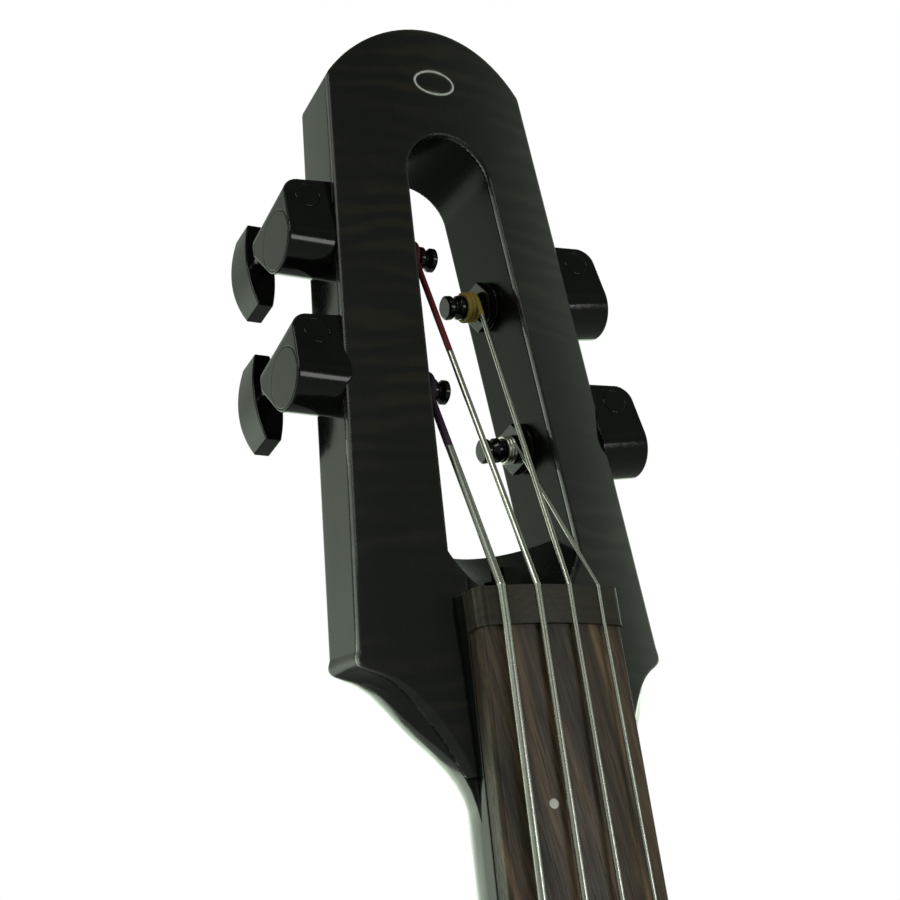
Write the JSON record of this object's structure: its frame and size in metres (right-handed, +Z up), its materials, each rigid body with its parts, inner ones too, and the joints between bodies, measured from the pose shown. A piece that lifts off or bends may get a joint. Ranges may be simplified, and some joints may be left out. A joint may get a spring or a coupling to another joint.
{
  "type": "electric upright bass",
  "caption": "Solid-bodied electric upright bass with a slotted head, enclosed worm tuners, fretless fingerboard, bridge and back stand plate.",
  "frame": {"origin": "centre of the stand plate's outer face on the back of the body", "axes": "+Z up the neck to the head, -Y towards the player's strings side (front), lowest string at -X"},
  "size_m": [0.1976, 0.0811, 1.3547],
  "materials": {
    "battery_skin": "gloss",
    "black_metal": "gloss black",
    "black_plastic": "fine texture",
    "board_green": "solder mask",
    "brass": "turned",
    "ebony": "polished",
    "flamed_black": "translucent black gloss over flamed maple",
    "maple": "satin",
    "maple_black": "clear black gloss over maple",
    "pearl": "polished",
    "piezo": "plain",
    "rosewood": "oiled, straight streaks",
    "steel": "turned",
    "wound_steel": "flat wound"
  },
  "bodies": {
    "instrument": {"battery": "battery_skin", "battery_tray": "black_plastic", "body": "maple_black", "body_top": "flamed_black", "bridge": "maple", "bridge_pickups": "piezo", "bridge_saddle": "ebony", "bushing_washers": "black_metal", "case_screws": "steel", "control_cover": "black_plastic", "control_pots": "steel", "cover_screws": "black_metal", "fingerboard": "rosewood", "gear_covers": "black_metal", "head_front": "flamed_black", "head_inlay": "pearl", "machine_case_a": "black_metal", "machine_case_d": "black_metal", "machine_case_e": "black_metal", "machine_case_g": "black_metal", "neck_and_head": "maple_black", "nut": "ebony", "output_jack": "black_metal", "position_dots": "pearl", "post_bushings": "black_metal", "preamp_board": "board_green", "stand_plate": "black_metal", "stand_plate_screws": "black_metal", "string_a": "wound_steel", "string_balls": "brass", "string_d": "wound_steel", "string_e": "wound_steel", "string_g": "wound_steel", "tailpiece": "black_metal", "tailpiece_screws": "black_metal", "toggle_case": "black_metal", "truss_rod": "steel", "truss_rod_nut": "steel", "worm_caps": "black_metal"},
    "worm_shaft_e": {"worm_e": "steel", "tuner_button_e": "black_metal"},
    "post_e": {"string_post_e": "black_metal", "worm_gear_e": "brass"},
    "worm_shaft_a": {"worm_a": "steel", "tuner_button_a": "black_metal"},
    "post_a": {"string_post_a": "black_metal", "worm_gear_a": "brass"},
    "worm_shaft_d": {"worm_d": "steel", "tuner_button_d": "black_metal"},
    "post_d": {"string_post_d": "black_metal", "worm_gear_d": "brass"},
    "worm_shaft_g": {"worm_g": "steel", "tuner_button_g": "black_metal"},
    "post_g": {"string_post_g": "black_metal", "worm_gear_g": "brass"},
    "knob_1_body": {"knob_1": "black_metal", "knob_stem_1": "steel"},
    "knob_2_body": {"knob_2": "black_metal", "knob_stem_2": "steel"},
    "toggle": {"toggle_lever": "black_metal"}
  },
  "joints": [
    {"name": "tuner_turn_e", "type": "hinge", "parent": "instrument", "child": "worm_shaft_e", "pos_m": [-0.04844, -0.02531, 0.88938], "axis": [-0.0066, 0.9867, -0.1626], "continuous": true},
    {"name": "post_turn_e", "type": "hinge", "parent": "instrument", "child": "post_e", "pos_m": [-0.04105, -0.04152, 0.88295], "axis": [-0.9983, 0.0029, 0.0585], "continuous": true},
    {"name": "tuner_turn_a", "type": "hinge", "parent": "instrument", "child": "worm_shaft_a", "pos_m": [-0.04482, -0.02308, 0.93378], "axis": [-0.0066, 0.9867, -0.1626], "continuous": true},
    {"name": "post_turn_a", "type": "hinge", "parent": "instrument", "child": "post_a", "pos_m": [-0.03743, -0.03929, 0.92735], "axis": [-0.9983, 0.0029, 0.0585], "continuous": true},
    {"name": "tuner_turn_d", "type": "hinge", "parent": "instrument", "child": "worm_shaft_d", "pos_m": [0.04565, -0.02378, 0.91987], "axis": [0.0118, 0.9867, -0.1622], "continuous": true},
    {"name": "post_turn_d", "type": "hinge", "parent": "instrument", "child": "post_d", "pos_m": [0.03859, -0.04001, 0.91312], "axis": [0.9946, 0.0052, 0.1037], "continuous": true},
    {"name": "tuner_turn_g", "type": "hinge", "parent": "instrument", "child": "worm_shaft_g", "pos_m": [0.04948, -0.02613, 0.87293], "axis": [0.0118, 0.9867, -0.1622], "continuous": true},
    {"name": "post_turn_g", "type": "hinge", "parent": "instrument", "child": "post_g", "pos_m": [0.04242, -0.04236, 0.86617], "axis": [0.9946, 0.0052, 0.1037], "continuous": true},
    {"name": "knob_1_turn", "type": "hinge", "parent": "instrument", "child": "knob_1_body", "pos_m": [0.06, -0.04298, -0.3], "axis": [0, -1, 0], "range_deg": [-150, 150]},
    {"name": "knob_2_turn", "type": "hinge", "parent": "instrument", "child": "knob_2_body", "pos_m": [0.072, -0.03983, -0.26], "axis": [0, -1, 0], "range_deg": [-150, 150]},
    {"name": "toggle_flip", "type": "hinge", "parent": "instrument", "child": "toggle", "pos_m": [-0.068, -0.03095, -0.275], "axis": [1, 0, 0], "range_deg": [-7, 7]}
  ],
  "couplings": [
    {"joint": "post_turn_e", "follows": "tuner_turn_e", "ratio": 0.0625},
    {"joint": "post_turn_a", "follows": "tuner_turn_a", "ratio": 0.0625},
    {"joint": "post_turn_d", "follows": "tuner_turn_d", "ratio": 0.0625},
    {"joint": "post_turn_g", "follows": "tuner_turn_g", "ratio": 0.0625}
  ]
}
